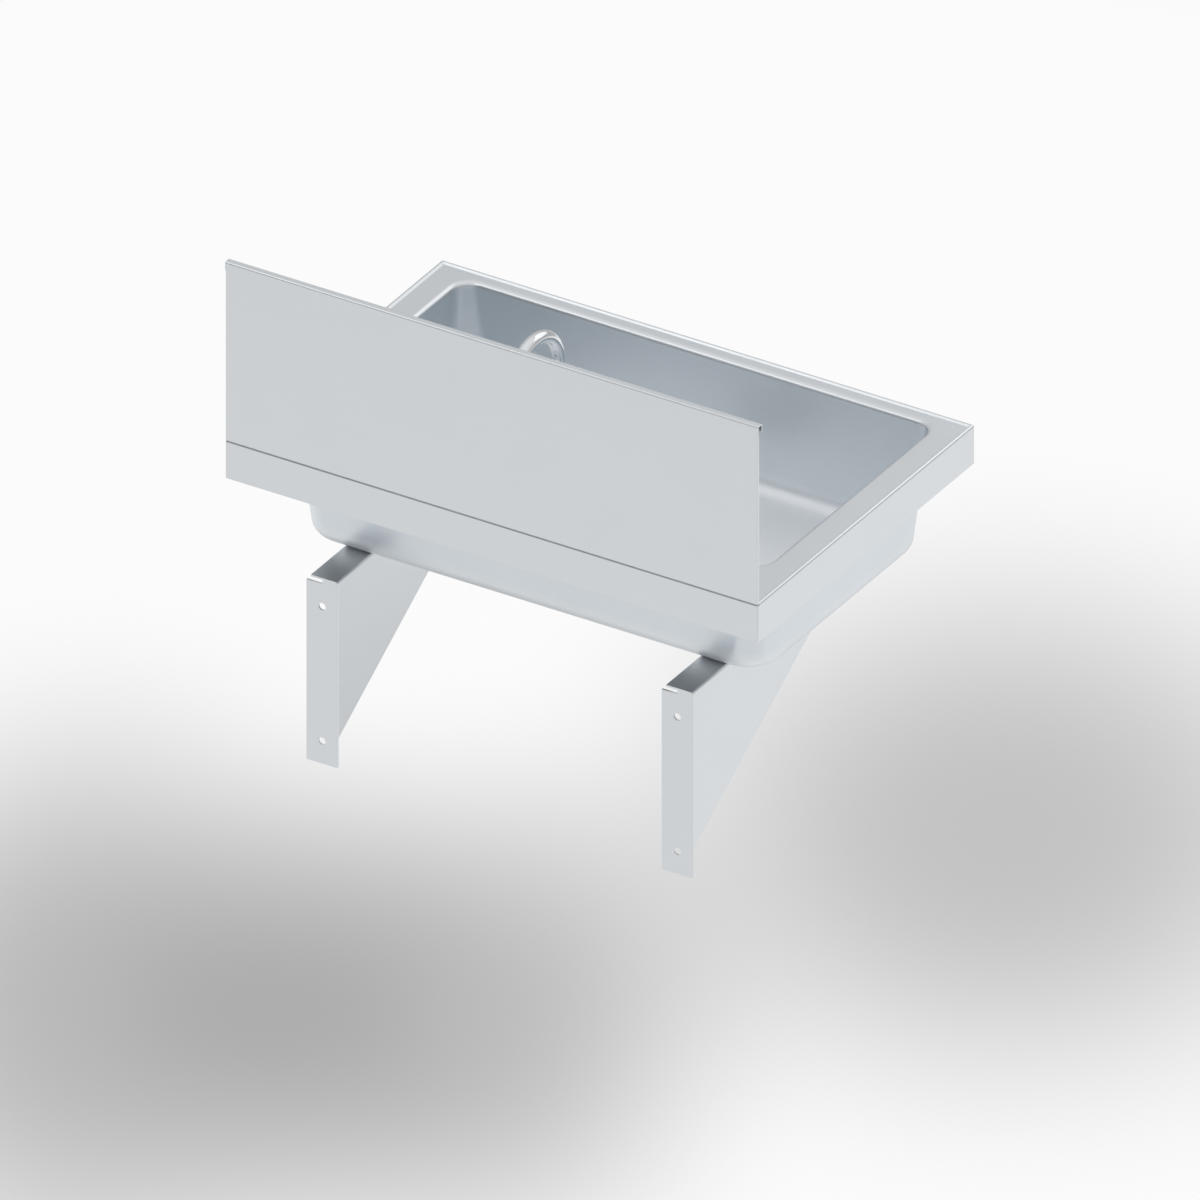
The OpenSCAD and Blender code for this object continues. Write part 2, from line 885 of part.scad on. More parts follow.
module fixed_disc(side) {
    color("white")
        valve_frame(side)
            difference() {
                disc(disc_r, fixed_u, fixed_u + disc_t);
                ports(fixed_u);
            }
}

module turning_disc(side) {
    color("white")
        valve_frame(side)
            rotate([0, 0, 90])
                difference() {
                    disc(disc_r, turning_u, turning_u + disc_t);
                    ports(turning_u);
                    // slot for the spindle's tongue
                    translate([-disc_r - cut, -tongue_w / 2 - turn_gap, head_u - tongue_h - face_gap])
                        cube([2 * disc_r + 2 * cut, tongue_w + 2 * turn_gap, tongue_h + cut]);
                }
}

module bonnet(side) {
    color(brass)
        valve_frame(side)
            difference() {
                union() {
                    disc(bonnet_r, fixed_u, barrel_u);
                    hexagon(hex_af, barrel_u, barrel_u + hex_h);
                    disc(bonnet_neck_r, barrel_u, barrel_u + hex_h + bonnet_neck_h);
                }
                disc(sleeve_r, fixed_u - cut, bonnet_step_u);
                disc(spindle_r + turn_gap, bonnet_step_u - cut, hub_web_u + cut);
                translate([0, 0, window_u])
                    rotate([90, 0, 0])
                        cylinder(r = window_r, h = 2 * valve_r + 2 * cut, center = true);
            }
}

module spindle(side) {
    color(brass)
        valve_frame(side)
            difference() {
                union() {
                    disc(head_r, head_u, head_u + head_h);
                    disc(spindle_r, head_u, spindle_end_u);
                    translate([-tongue_w / 2, -disc_r + fit_gap, head_u - tongue_h])
                        cube([tongue_w, 2 * (disc_r - fit_gap), tongue_h + head_h / 2]);
                }
                // water leaves the turning disc through these notches
                for (x = [-1, 1])
                    translate([x * (port_off + head_r) - head_r, -port_r, head_u - tongue_h - cut])
                        cube([2 * head_r, 2 * port_r, tongue_h + head_h / 2 + cut]);
                ring(spindle_r + cut, spindle_r - 2 * spindle_ring_r - face_gap,
                    spindle_ring_u - spindle_ring_r - face_gap,
                    spindle_ring_u + spindle_ring_r + face_gap);
                disc(lever_screw_r + fit_gap, spindle_end_u - lever_screw_len, spindle_end_u + cut);
            }
}

module spindle_ring(side) {
    color(rubber)
        valve_frame(side)
            translate([0, 0, spindle_ring_u])
                rotate_extrude()
                    translate([spindle_r - spindle_ring_r, 0])
                        circle(r = spindle_ring_r, $fn = 24);
}

module lever(side) {
    screw_u = hub_web_u + hub_web_h;
    color(chrome)
        valve_frame(side)
            difference() {
                union() {
                    disc(hub_r, hub_u, hub_end_u - hub_chamfer);
                    translate([0, 0, hub_end_u - hub_chamfer])
                        cylinder(r1 = hub_r, r2 = hub_r - hub_chamfer, h = hub_chamfer);
                    translate([0, 0, (hub_u + hub_end_u) / 2])
                        rotate([0, -side * (90 - lever_lean), 0]) {
                            cylinder(r1 = lever_root_r, r2 = lever_tip_r, h = lever_len - lever_tip_r);
                            translate([0, 0, lever_len - lever_tip_r])
                                sphere(r = lever_tip_r);
                        }
                }
                disc(hub_cavity_r, hub_u - cut, hub_web_u);
                disc(spindle_r + turn_gap, hub_web_u - cut, spindle_end_u + face_gap);
                disc(lever_screw_r + fit_gap, hub_web_u, screw_u + cut);
                disc(plug_r + fit_gap, screw_u, hub_end_u + cut);
            }
}

module lever_screw(side) {
    head_base_u = hub_web_u + hub_web_h;
    color(steel)
        valve_frame(side) {
            disc(lever_screw_r, spindle_end_u - lever_screw_len + hub_gap, head_base_u);
            disc(lever_screw_head_r, head_base_u, head_base_u + lever_screw_head_h);
        }
}

module index_plug(side, tint) {
    color(tint)
        valve_frame(side)
            disc(plug_r, hub_end_u - plug_t, hub_end_u);
}

sink_top();
bowl();
splashback();
place_bracket(-1);  // left_bracket
place_bracket(1);  // right_bracket
waste_strainer();
waste_screw();
waste_upper_seal();
waste_lower_seal();
waste_body();
tap_body();
tap_base_gasket();
tap_shank();
tap_rubber_washer();
tap_metal_washer();
tap_back_nut();
spout_tube();
spout_ferrule();
spout_rings();
spout_slip_ring();
spout_nut();
nozzle_bush();
aerator_washer();
aerator_insert();
aerator_shell();
valve_seal(1);  // hot_valve_seal
fixed_disc(1);  // hot_fixed_disc
turning_disc(1);  // hot_turning_disc
bonnet(1);  // hot_bonnet
spindle(1);  // hot_spindle
spindle_ring(1);  // hot_spindle_ring
lever(1);  // hot_lever
lever_screw(1);  // hot_lever_screw
index_plug(1, "firebrick");  // hot_index_plug
valve_seal(-1);  // cold_valve_seal
fixed_disc(-1);  // cold_fixed_disc
turning_disc(-1);  // cold_turning_disc
bonnet(-1);  // cold_bonnet
spindle(-1);  // cold_spindle
spindle_ring(-1);  // cold_spindle_ring
lever(-1);  // cold_lever
lever_screw(-1);  // cold_lever_screw
index_plug(-1, "royalblue");  // cold_index_plug
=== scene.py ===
import math

import bmesh
import bpy
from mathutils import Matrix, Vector


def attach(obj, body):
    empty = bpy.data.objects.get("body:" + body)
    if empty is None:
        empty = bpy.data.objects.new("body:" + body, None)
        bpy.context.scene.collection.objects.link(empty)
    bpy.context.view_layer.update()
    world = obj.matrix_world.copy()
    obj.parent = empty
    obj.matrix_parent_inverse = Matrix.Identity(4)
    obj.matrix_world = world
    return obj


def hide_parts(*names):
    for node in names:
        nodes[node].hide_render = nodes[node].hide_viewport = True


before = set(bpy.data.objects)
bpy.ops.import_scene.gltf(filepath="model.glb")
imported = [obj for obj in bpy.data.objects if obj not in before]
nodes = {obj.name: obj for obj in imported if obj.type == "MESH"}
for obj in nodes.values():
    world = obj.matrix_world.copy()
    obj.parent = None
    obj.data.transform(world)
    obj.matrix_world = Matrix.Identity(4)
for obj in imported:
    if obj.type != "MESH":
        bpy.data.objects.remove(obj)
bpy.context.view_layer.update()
mm = 0.001
print("frame loaded:", len(nodes), "nodes")


class Builder:
    # short hand for placing and joining nodes in one tree
    def __init__(self, tree):
        self.tree = tree
        tree.nodes.clear()

    def add(self, kind, settings=None, values=None):
        node = self.tree.nodes.new(kind)
        for key, value in (settings or {}).items():
            setattr(node, key, value)
        for key, value in (values or {}).items():
            self.feed(node.inputs[key], value)
        return node

    def feed(self, socket, value):
        if isinstance(value, bpy.types.NodeSocket):
            self.tree.links.new(value, socket)
        else:
            socket.default_value = value

    def math(self, operation, a, b):
        return self.add("ShaderNodeMath", {"operation": operation}, {0: a, 1: b}).outputs[0]

    def noise(self, vector, scale, detail, rough):
        values = {"Vector": vector, "Scale": scale, "Detail": detail, "Roughness": rough}
        return self.add("ShaderNodeTexNoise", values=values).outputs["Fac"]

    def ramp(self, value, fromLow, fromHigh, toLow=0.0, toHigh=1.0):
        values = {"Value": value, "From Min": fromLow, "From Max": fromHigh,
                  "To Min": toLow, "To Max": toHigh}
        return self.add("ShaderNodeMapRange", values=values).outputs["Result"]

    def mix(self, factor, colourA, colourB):
        values = {0: factor, 6: colourA, 7: colourB}
        return self.add("ShaderNodeMix", {"data_type": "RGBA"}, values).outputs[2]


def startGroup(name, inputs, outputs):
    group = bpy.data.node_groups.new(name, "ShaderNodeTree")
    for label, kind, value in inputs:
        socket = group.interface.new_socket(label, in_out="INPUT", socket_type="NodeSocket" + kind)
        socket.default_value = value
    for label in outputs:
        group.interface.new_socket(label, in_out="OUTPUT", socket_type="NodeSocketFloat")
    tree = Builder(group)
    return group, tree, tree.add("NodeGroupInput").outputs, tree.add("NodeGroupOutput").inputs


# long fine streaks, as a belt leaves on sheet or a lathe on a turned piece, and slow uneven patches;
# streak and patch each give their noise's detail and roughness
grainNoise = {"streak": (3.0, 0.65), "patchScale": 7.0, "patch": (3.0, 0.6)}
grainGroup, tree, given, out = startGroup(
    "surfaceGrain",
    [("Position", "Vector", (0, 0, 0)), ("Stretch", "Vector", (1, 1, 1)), ("Scale", "Float", 900.0)],
    ["Streak", "Patch"])
stretched = tree.add("ShaderNodeVectorMath", {"operation": "MULTIPLY"},
                     {0: given["Position"], 1: given["Stretch"]}).outputs[0]
tree.feed(out["Streak"], tree.noise(stretched, given["Scale"], *grainNoise["streak"]))
tree.feed(out["Patch"], tree.noise(given["Position"], grainNoise["patchScale"], *grainNoise["patch"]))

# thin film of dried water and hand marks, gathered in soft islands where the noise is high
filmNoise = {"islands": (4.0, 0.6), "thinAt": 0.45, "fullAt": 0.75}
filmGroup, tree, given, out = startGroup(
    "handledFilm",
    [("Position", "Vector", (0, 0, 0)), ("Scale", "Float", 30.0), ("Amount", "Float", 0.5)],
    ["Film"])
islands = tree.noise(given["Position"], given["Scale"], *filmNoise["islands"])
islands = tree.ramp(islands, filmNoise["thinAt"], filmNoise["fullAt"])
tree.feed(out["Film"], tree.math("MULTIPLY", islands, given["Amount"]))


toneSpan = (0.3, 0.7)  # the part of the grain that is spread over both colours
seamShadeBlur = {"foot": 0.0004, "head": 0.0003, "depth": 0.0005}  # how softly the painted seam shade ends, in m


def paint(name, look):
    # look: two colours and the roughness from and to, which the grain mixes; metal; the streaks' direction,
    # scale and share; bump and film. Bowl floor: heights in m, more roughness for its scuffs, and a paler
    # colour that is painted light. seam: foot, head and depth in m, and the colour of painted shade in its
    # groove.
    # plain: further sockets of the shader
    material = bpy.data.materials.new(name)
    material.use_nodes = True
    tree = Builder(material.node_tree)
    place = tree.add("ShaderNodeTexCoord").outputs["Object"]
    grain = tree.add("ShaderNodeGroup", {"node_tree": grainGroup},
                     {"Position": place, "Stretch": look["stretch"], "Scale": look["scale"]}).outputs
    film = tree.add("ShaderNodeGroup", {"node_tree": filmGroup},
                    {"Position": place, "Scale": look["filmScale"], "Amount": look["film"]}).outputs["Film"]
    tone = tree.math("ADD", tree.math("MULTIPLY", grain["Streak"], look["streakShare"]),
                     tree.math("MULTIPLY", grain["Patch"], 1.0 - look["streakShare"]))
    tone = tree.ramp(tone, *toneSpan)
    rough = tree.math("ADD", tree.ramp(tone, 0.0, 1.0, *look["rough"]),
                      tree.math("MULTIPLY", film, look["filmRough"]))
    colour = tree.mix(tone, (*look["colour"], 1), (*look["second"], 1))
    if "scuffAndPaintedLight" in look:  # a bowl's floor has scuffs and so is duller than its walls; its paler colour is painted light
        low, high, more, pale = look["scuffAndPaintedLight"]
        height = tree.add("ShaderNodeSeparateXYZ", values={0: place}).outputs["Z"]
        rough = tree.math("ADD", rough, tree.ramp(height, low, high, more, 0.0))
        colour = tree.mix(tree.ramp(height, low, high, 1.0, 0.0), colour, (*pale, 1))
    if "seam" in look:  # painted shade: a dark band where the welded rear seam's groove lies in shade
        foot, head, deep, shade = look["seam"]
        _, y, z = tree.add("ShaderNodeSeparateXYZ", values={0: place}).outputs
        seamShade = tree.math("MULTIPLY", tree.ramp(z, foot - seamShadeBlur["foot"], foot),
                         tree.ramp(z, head, head + seamShadeBlur["head"], 1.0, 0.0))
        seamShade = tree.math("MULTIPLY", seamShade, tree.ramp(y, deep, deep + seamShadeBlur["depth"], 1.0, 0.0))
        colour = tree.mix(seamShade, colour, (*shade, 1))
    bump = tree.add("ShaderNodeBump", values={"Strength": look["bump"], "Distance": look["bumpDepth"],
                                              "Height": grain["Streak"]})
    shader = tree.add("ShaderNodeBsdfPrincipled", values={
        "Base Color": colour, "Roughness": rough, "Metallic": look["metal"],
        "Normal": bump.outputs["Normal"]})
    for key, value in look.get("plain", {}).items():
        shader.inputs[key].default_value = value
    output = tree.add("ShaderNodeOutputMaterial")
    tree.feed(output.inputs["Surface"], shader.outputs[0])
    return material


even = (1.0, 1.0, 1.0)  # a grain with no direction
sheetLook = {"colour": (0.735, 0.765, 0.79), "second": (0.765, 0.795, 0.82), "rough": (0.30, 0.36),
             "metal": 1.0, "stretch": (0.012, 1.0, 1.0), "scale": 1400.0, "streakShare": 0.55, "bump": 0.06,
             "bumpDepth": 0.0002, "film": 0.35, "filmScale": 14.0, "filmRough": 0.06}
looks = {
    # painted shade: the seam entry darkens a band in the rear seam's groove
    "satinSheet": {**sheetLook, "seam": (-0.0021, -0.0001, 0.003, (0.56, 0.58, 0.60))},
    # painted shade: the bowl's colour is darker and bluer than the sheet's, standing in for shade on its
    # walls
    "satinBowlPaintedShade": {**sheetLook, "colour": (0.69, 0.735, 0.77), "second": (0.72, 0.765, 0.80),
                  "stretch": (0.05, 0.05, 1.0), "rough": (0.27, 0.33), "film": 0.6,
                  # the floor's paler colour is painted light
                  "scuffAndPaintedLight": (-0.128, -0.108, 0.34, (0.94, 0.96, 0.98))},
    "bracketSheet": {**sheetLook, "stretch": (1.0, 0.02, 0.05), "rough": (0.32, 0.38)},
    "polishedSteel": {**sheetLook, "colour": (0.72, 0.73, 0.74), "second": (0.78, 0.79, 0.80),
                      "rough": (0.08, 0.14), "stretch": even, "scale": 300.0, "bump": 0.02},
    "brightChrome": {**sheetLook, "colour": (0.80, 0.82, 0.84), "second": (0.84, 0.86, 0.88),
                     "rough": (0.03, 0.06), "stretch": even, "scale": 60.0, "bump": 0.01,
                     "film": 0.3, "filmScale": 60.0, "filmRough": 0.05},
    "turnedBrass": {**sheetLook, "colour": (0.72, 0.52, 0.24), "second": (0.80, 0.62, 0.34),
                    "rough": (0.24, 0.40), "stretch": (0.1, 0.1, 1.0), "scale": 3000.0, "bump": 0.15},
    "turnedSteel": {**sheetLook, "colour": (0.60, 0.61, 0.62), "second": (0.70, 0.71, 0.72),
                    "rough": (0.25, 0.40), "stretch": (0.1, 0.1, 1.0), "scale": 3000.0, "bump": 0.12},
    "blackRubber": {**sheetLook, "colour": (0.018, 0.018, 0.020), "second": (0.035, 0.035, 0.037),
                    "metal": 0.0, "rough": (0.55, 0.75), "stretch": even, "scale": 1500.0, "bump": 0.3,
                    "filmRough": 0.1},
    "mouldedPlastic": {**sheetLook, "colour": (0.74, 0.74, 0.715), "second": (0.80, 0.80, 0.78),
                       "metal": 0.0, "rough": (0.38, 0.52), "stretch": even, "scale": 2200.0, "bump": 0.15,
                       "plain": {"Subsurface Weight": 0.05, "Subsurface Scale": 0.002}},
    "lappedCeramic": {**sheetLook, "colour": (0.84, 0.82, 0.78), "second": (0.90, 0.88, 0.84),
                      "metal": 0.0, "rough": (0.12, 0.2), "stretch": even, "scale": 2600.0, "bump": 0.03},
    "redEnamel": {**sheetLook, "colour": (0.42, 0.012, 0.012), "second": (0.52, 0.02, 0.02), "metal": 0.0,
                  "rough": (0.10, 0.16), "stretch": even, "scale": 1200.0, "bump": 0.03,
                  "plain": {"Coat Weight": 0.6}},
    "blueEnamel": {**sheetLook, "colour": (0.012, 0.07, 0.40), "second": (0.02, 0.10, 0.50), "metal": 0.0,
                   "rough": (0.10, 0.16), "stretch": even, "scale": 1200.0, "bump": 0.03,
                   "plain": {"Coat Weight": 0.6}},
}
finish = {name: paint(name, look) for name, look in looks.items()}
print("materials made:", len(finish))


def roundPath(corners, segments=6):
    # a path of (x, y, radius) corners with each corner replaced by an arc
    path = []
    for index, (x, y, radius) in enumerate(corners):
        if radius == 0 or index in (0, len(corners) - 1):
            path.append((x, y))
            continue
        here = Vector((x, y))
        back = (Vector(corners[index - 1][:2]) - here).normalized()
        ahead = (Vector(corners[index + 1][:2]) - here).normalized()
        half = back.angle(ahead) / 2
        centre = here + (back + ahead).normalized() * radius / math.sin(half)
        start = here + back * radius / math.tan(half) - centre
        turn = start.angle_signed(here + ahead * radius / math.tan(half) - centre)
        for step in range(segments + 1):
            angle = -turn * step / segments
            path.append((centre.x + start.x * math.cos(angle) - start.y * math.sin(angle),
                         centre.y + start.x * math.sin(angle) + start.y * math.cos(angle)))
    return path


def roundedRing(halfW, halfD, radius, z, centreY, cornerSteps=10, longSteps=26, shortSteps=16):
    ring = []
    for quarter, (sx, sy) in enumerate(((1, 1), (-1, 1), (-1, -1), (1, -1))):
        cx, cy = sx * (halfW - radius), sy * (halfD - radius)
        arc = []
        for step in range(cornerSteps + 1):
            angle = math.pi / 2 * (quarter + step / cornerSteps)
            arc.append((cx + radius * math.cos(angle), cy + radius * math.sin(angle)))
        ring += arc
        x1, y1 = arc[-1]
        sideSteps = longSteps if quarter % 2 == 0 else shortSteps
        x2, y2 = (-x1, y1) if quarter % 2 == 0 else (x1, -y1)
        for step in range(1, sideSteps):
            share = step / sideSteps
            ring.append((x1 + (x2 - x1) * share, y1 + (y2 - y1) * share))
    return [(x, y + centreY, z) for x, y in ring]


def circleLike(ring, radius, z, centreX, centreY):
    # a circle whose points lie on the same rays as the ring's
    points = []
    for x, y, _ in ring:
        angle = math.atan2(y - centreY, x - centreX)
        points.append((centreX + radius * math.cos(angle), centreY + radius * math.sin(angle), z))
    return points


def circleRing(radius, z, centre, steps=72):
    return [(centre[0] + radius * math.cos(2 * math.pi * i / steps),
             centre[1] + radius * math.sin(2 * math.pi * i / steps), z) for i in range(steps)]


def loft(rings):
    # quads between rings of one length, and from the last ring to the first
    size = len(rings[0])
    points = [point for ring in rings for point in ring]
    faces = []
    for row in range(len(rings)):
        a, b = row * size, (row + 1) % len(rings) * size
        faces += [(a + i, a + (i + 1) % size, b + (i + 1) % size, b + i) for i in range(size)]
    return points, faces


def prism(outline, place, low, high):
    # a closed outline pushed from low to high; place(a, b, c) puts a point in space
    points = [place(a, b, low) for a, b in outline] + [place(a, b, high) for a, b in outline]
    size = len(outline)
    faces = [(i, (i + 1) % size, size + (i + 1) % size, size + i) for i in range(size)]
    return points, faces + [tuple(range(size)), tuple(range(size, 2 * size))]


def joined(parts):
    points, faces = [], []
    for morePoints, moreFaces in parts:
        start = len(points)
        points += morePoints
        faces += [tuple(start + i for i in face) for face in moreFaces]
    return points, faces


def newObject(name, data):
    made = bpy.data.objects.new(name, data)
    bpy.context.collection.objects.link(made)
    return made


def meshObject(name, form):
    mesh = bpy.data.meshes.new(name)
    mesh.from_pydata([(x * mm, y * mm, z * mm) for x, y, z in form[0]], [], form[1])
    work = bmesh.new()
    work.from_mesh(mesh)
    bmesh.ops.recalc_face_normals(work, faces=work.faces)
    work.to_mesh(mesh)
    work.free()
    return newObject(name, mesh)


# angles in degrees; points closer than mergeWithin m are joined again
edges = {"mergeWithin": 0.000002, "creaseAngle": 28, "bevelAngle": 35, "bevelSegments": 2,
         "faceWeight": 100}


def weighNormals(piece):
    # large faces keep their own normal beside rounded edges
    weigh = piece.modifiers.new("flatFaces", "WEIGHTED_NORMAL")
    weigh.weight = edges["faceWeight"]
    weigh.keep_sharp = True


def makePiece(name, form, look, body, node, sharpAngle=40, cutForm=None):
    piece = meshObject(name, form)
    if cutForm:
        cutter = meshObject(name + "Cut", cutForm)
        cut = piece.modifiers.new("cut", "BOOLEAN")
        cut.operation, cut.solver, cut.use_self, cut.object = "DIFFERENCE", "EXACT", True, cutter
        bpy.context.view_layer.update()
        shaped = piece.evaluated_get(bpy.context.evaluated_depsgraph_get())
        piece.data = bpy.data.meshes.new_from_object(shaped)
        piece.modifiers.clear()
        bpy.data.objects.remove(cutter)
    piece.data.materials.clear()
    piece.data.materials.append(finish[look])
    piece.data.polygons.foreach_set("use_smooth", [True] * len(piece.data.polygons))
    piece.data.set_sharp_from_angle(angle=math.radians(sharpAngle))
    weighNormals(piece)
    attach(piece, body)
    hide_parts(node)


def rodForm(centre, radius, low, high, steps=96):
    outline = [(x, y) for x, y, _ in circleRing(radius, low, centre, steps)]
    return prism(outline, lambda a, b, c: (a, b, c), low, high)


def slotForm(corner, outward, reach, width, low, high):
    # a thin upright slot on the diagonal of a corner, from outside it to reach inside it
    along = Vector(outward).normalized()
    across = Vector((-outward[1], outward[0])).normalized() * width / 2
    ends = Vector(corner) + along * reach, Vector(corner) - along * reach
    outline = [tuple(p) for p in (ends[0] + across, ends[0] - across, ends[1] - across, ends[1] + across)]
    return prism(outline, lambda a, b, c: (a, b, c), low, high)


# in mm: the rim's flat, the band where its slope ends, the drop from rim to deck, the lip's bend radius, the
# collar below it, how the underside of the slope is shifted, and the open seams where the aprons meet
top = {"width": 600.0, "depth": 400.0, "apron": 42.5, "sheet": 1.2, "bend": 2.2, "rimFlat": 3.2,
       "band": 4.8, "drop": 1.8, "slopeRound": 0.6, "underRounds": (0.6, 0.4), "mitre": 0.25, "lip": 5.2,
       "lipSteps": 10, "lipFlat": 1, "flat": 1.5, "collar": 6.0, "underShift": 0.539, "edge": 0.3,
       "edgeMiddle": -0.6, "seam": 0.5, "seamReach": 2.7, "seamTop": -1.4, "seamBelow": 1,
       "cutLow": -10, "cutHigh": 5}
mouth = {"width": 532.0, "depth": 316.5, "centreY": 223.25, "radius": 20.0}
tap = {"x": 0.0, "y": 31.5, "hole": 17.5}


def topRing(offset, z):
    radius = max(top["bend"] + offset, top["mitre"])
    return roundedRing(top["width"] / 2 + offset, top["depth"] / 2 + offset, radius, z, top["depth"] / 2)


def mouthRing(offset, z):
    return roundedRing(mouth["width"] / 2 + offset, mouth["depth"] / 2 + offset, mouth["radius"] + offset,
                       z, mouth["centreY"])


def makeTop():
    t, drop, foot = top["sheet"], -top["drop"], -top["apron"]
    rimEnd, band, lip = -top["rimFlat"], -top["band"], top["lip"]
    bottom = drop - top["collar"]
    shift = top["underShift"]
    edge, inward, lipStart = top["edge"], band - top["flat"], lip + top["lipFlat"]
    slopeFoot, slopeHead = top["underRounds"]
    upper = roundPath([(-edge, foot, 0), (0, foot, edge), (0, 0, top["bend"]),
                       (rimEnd, 0, top["slopeRound"]), (band, drop, top["slopeRound"]), (inward, drop, 0)])
    lipPath = roundPath([(lipStart, drop, 0), (0, drop, lip), (0, bottom, 0)], top["lipSteps"])
    lipUnder = roundPath([(t, bottom, 0), (t, drop - t, lip - t), (lipStart, drop - t, 0)])
    under = roundPath([(inward, drop - t, 0), (band + shift, drop - t, slopeFoot),
                       (rimEnd + shift, -t, slopeHead), (-t, -t, top["bend"] - t), (-t, foot, edge),
                       (top["edgeMiddle"], foot, 0)])
    rings = [topRing(*corner) for corner in upper]
    rings += [mouthRing(*corner) for corner in lipPath + lipUnder]
    rings += [topRing(*corner) for corner in under]
    cuts = [rodForm((tap["x"], tap["y"]), tap["hole"], top["cutLow"], top["cutHigh"])]
    for sideX in (-1, 1):  # the aprons meet in an open seam at each corner
        for sideY in (-1, 1):
            corner = (sideX * top["width"] / 2, top["depth"] / 2 * (1 + sideY))
            cuts.append(slotForm(corner, (sideX, sideY), top["seamReach"], top["seam"],
                                 foot - top["seamBelow"], top["seamTop"]))
    makePiece("sinkTop", loft(rings), "satinSheet", "sink", "sink_top", cutForm=joined(cuts))


makeTop()
print("top made")


bowl = {"floor": -129.8, "fillet": 15.0, "filletSteps": 18, "footRadius": 38.0, "lean": 5.0, "wallSteps": 8,
        "recess": 42.0, "recessFoot": 40.0, "recessDepth": 4.0, "recessRounds": (1.2, 1.0), "flat": 8,
        "underRound": 0.6, "hole": 26.0, "holeEdge": 0.3, "sheet": 1.2}


def bowlWall(grow):
    halfW, halfD = mouth["width"] / 2, mouth["depth"] / 2
    inset, filletTop = bowl["lean"] + bowl["fillet"], bowl["floor"] + bowl["fillet"]
    topZ = -top["drop"] - top["collar"]
    tilt = math.atan2(bowl["lean"], topZ - filletTop)
    rings = []
    for step in range(bowl["filletSteps"] + 1):
        angle = tilt + (math.pi / 2 - tilt) * step / bowl["filletSteps"]
        reach = (bowl["fillet"] + grow) * math.cos(angle)
        rings.append((halfW - inset + reach, halfD - inset + reach,
                      bowl["footRadius"] - bowl["fillet"] + reach,
                      filletTop - (bowl["fillet"] + grow) * math.sin(angle)))
    first, last = (halfW + grow, halfD + grow, mouth["radius"] + grow, topZ), rings[0]
    steps = bowl["wallSteps"]
    wall = [[a + (b - a) * step / steps for a, b in zip(first, last)] for step in range(steps)]
    return [roundedRing(*ring, mouth["centreY"]) for ring in wall + rings]


def makeBowl():
    inner, outer = bowlWall(0), bowlWall(bowl["sheet"])
    floor, under = bowl["floor"], bowl["floor"] - bowl["sheet"]
    low, lowUnder = floor - bowl["recessDepth"], under - bowl["recessDepth"]
    edge, outside, far = bowl["recess"], bowl["recess"] + bowl["sheet"], bowl["recess"] + bowl["flat"]
    edgeRound, footRound = bowl["recessRounds"]
    dish = roundPath([(far, floor, 0), (edge, floor, edgeRound), (bowl["recessFoot"], low, footRound),
                      (bowl["hole"], low, bowl["holeEdge"]), (bowl["hole"], lowUnder, bowl["holeEdge"]),
                      (outside, lowUnder, edgeRound), (outside, under, bowl["underRound"]),
                      (far, under, 0)])
    centre = (0, mouth["centreY"])
    rings = inner + [circleLike(inner[-1], r, z, *centre) for r, z in dish] + outer[::-1]
    makePiece("bowlShell", loft(rings), "satinBowlPaintedShade", "sink", "bowl")


makeBowl()
print("bowl made")


# spare keeps the two arcs of a hem, which would otherwise meet in one point, apart
splash = {"height": 198.5, "width": 600.0, "sheet": 1.2, "bend": 1.7, "fold": 8.0, "foldLeg": 9.0,
          "foldSteps": 8, "hem": 3.5, "hemLeg": 12.0, "hemSteps": 12, "edge": 0.25, "spare": 0.001}


def makeSplash():
    t, high, fold = splash["sheet"], splash["height"], splash["fold"]
    seam = high - splash["foldLeg"]
    bend, tight, edge = splash["bend"], splash["bend"] - t, splash["edge"]
    section = roundPath([(0, seam, 0), (0, high, bend), (fold, high, bend), (fold, seam, edge),
                         (fold - t, seam, edge), (fold - t, high - t, tight), (t, high - t, tight),
                         (t, seam, 0)], splash["foldSteps"])
    half, r, leg = splash["width"] / 2, splash["hem"] / 2, splash["hemLeg"]
    outer, inner = r - splash["spare"], r - t - splash["spare"]
    side = roundPath([(half - r, 0, 0), (half, 0, outer), (half, 2 * r, outer),
                      (half - r - leg, 2 * r, edge), (half - r - leg, 2 * r - t, edge),
                      (half - t, 2 * r - t, inner), (half - t, t, inner), (half - r, t, 0)],
                     splash["hemSteps"])
    outline = side + [(-x, y) for x, y in side[::-1]]
    panel = prism(outline, lambda a, b, c: (a, b, c), 0.0, seam)
    head = prism(section, lambda a, b, c: (c, a, b), -half, half)
    makePiece("splashSheet", joined([panel, head]), "satinSheet", "sink", "splashback")


makeSplash()
print("splashback made")


spout = {"radius": 6.5, "bore": 5.3, "low": 50.2, "middle": 80.0, "archZ": 116.9, "reach": 92.0,
         "legZ": 97.9, "archSteps": 72, "aroundSteps": 48}


def makeSpout():
    half = spout["reach"] / 2
    path = [(0.0, spout["low"], 0.0), (0.0, spout["middle"], 0.0), (0.0, spout["archZ"], 0.0)]
    for step in range(1, spout["archSteps"]):
        angle = math.pi * step / spout["archSteps"]
        path.append((half - half * math.cos(angle), spout["archZ"] + half * math.sin(angle), angle))
    path += [(spout["reach"], spout["archZ"], math.pi), (spout["reach"], spout["legZ"], math.pi)]
    rings = []
    for radius, way in ((spout["radius"], path), (spout["bore"], path[::-1])):
        for y, z, lean in way:
            ring = []
            for i in range(spout["aroundSteps"]):
                angle = 2 * math.pi * i / spout["aroundSteps"]
                side, out = radius * math.cos(angle), radius * math.sin(angle)
                ring.append((tap["x"] + side, tap["y"] + y - out * math.cos(lean),
                             z + out * math.sin(lean)))
            rings.append(ring)
    makePiece("spoutTube", loft(rings), "brightChrome", "spout", "spout_tube")


makeSpout()
print("spout made")


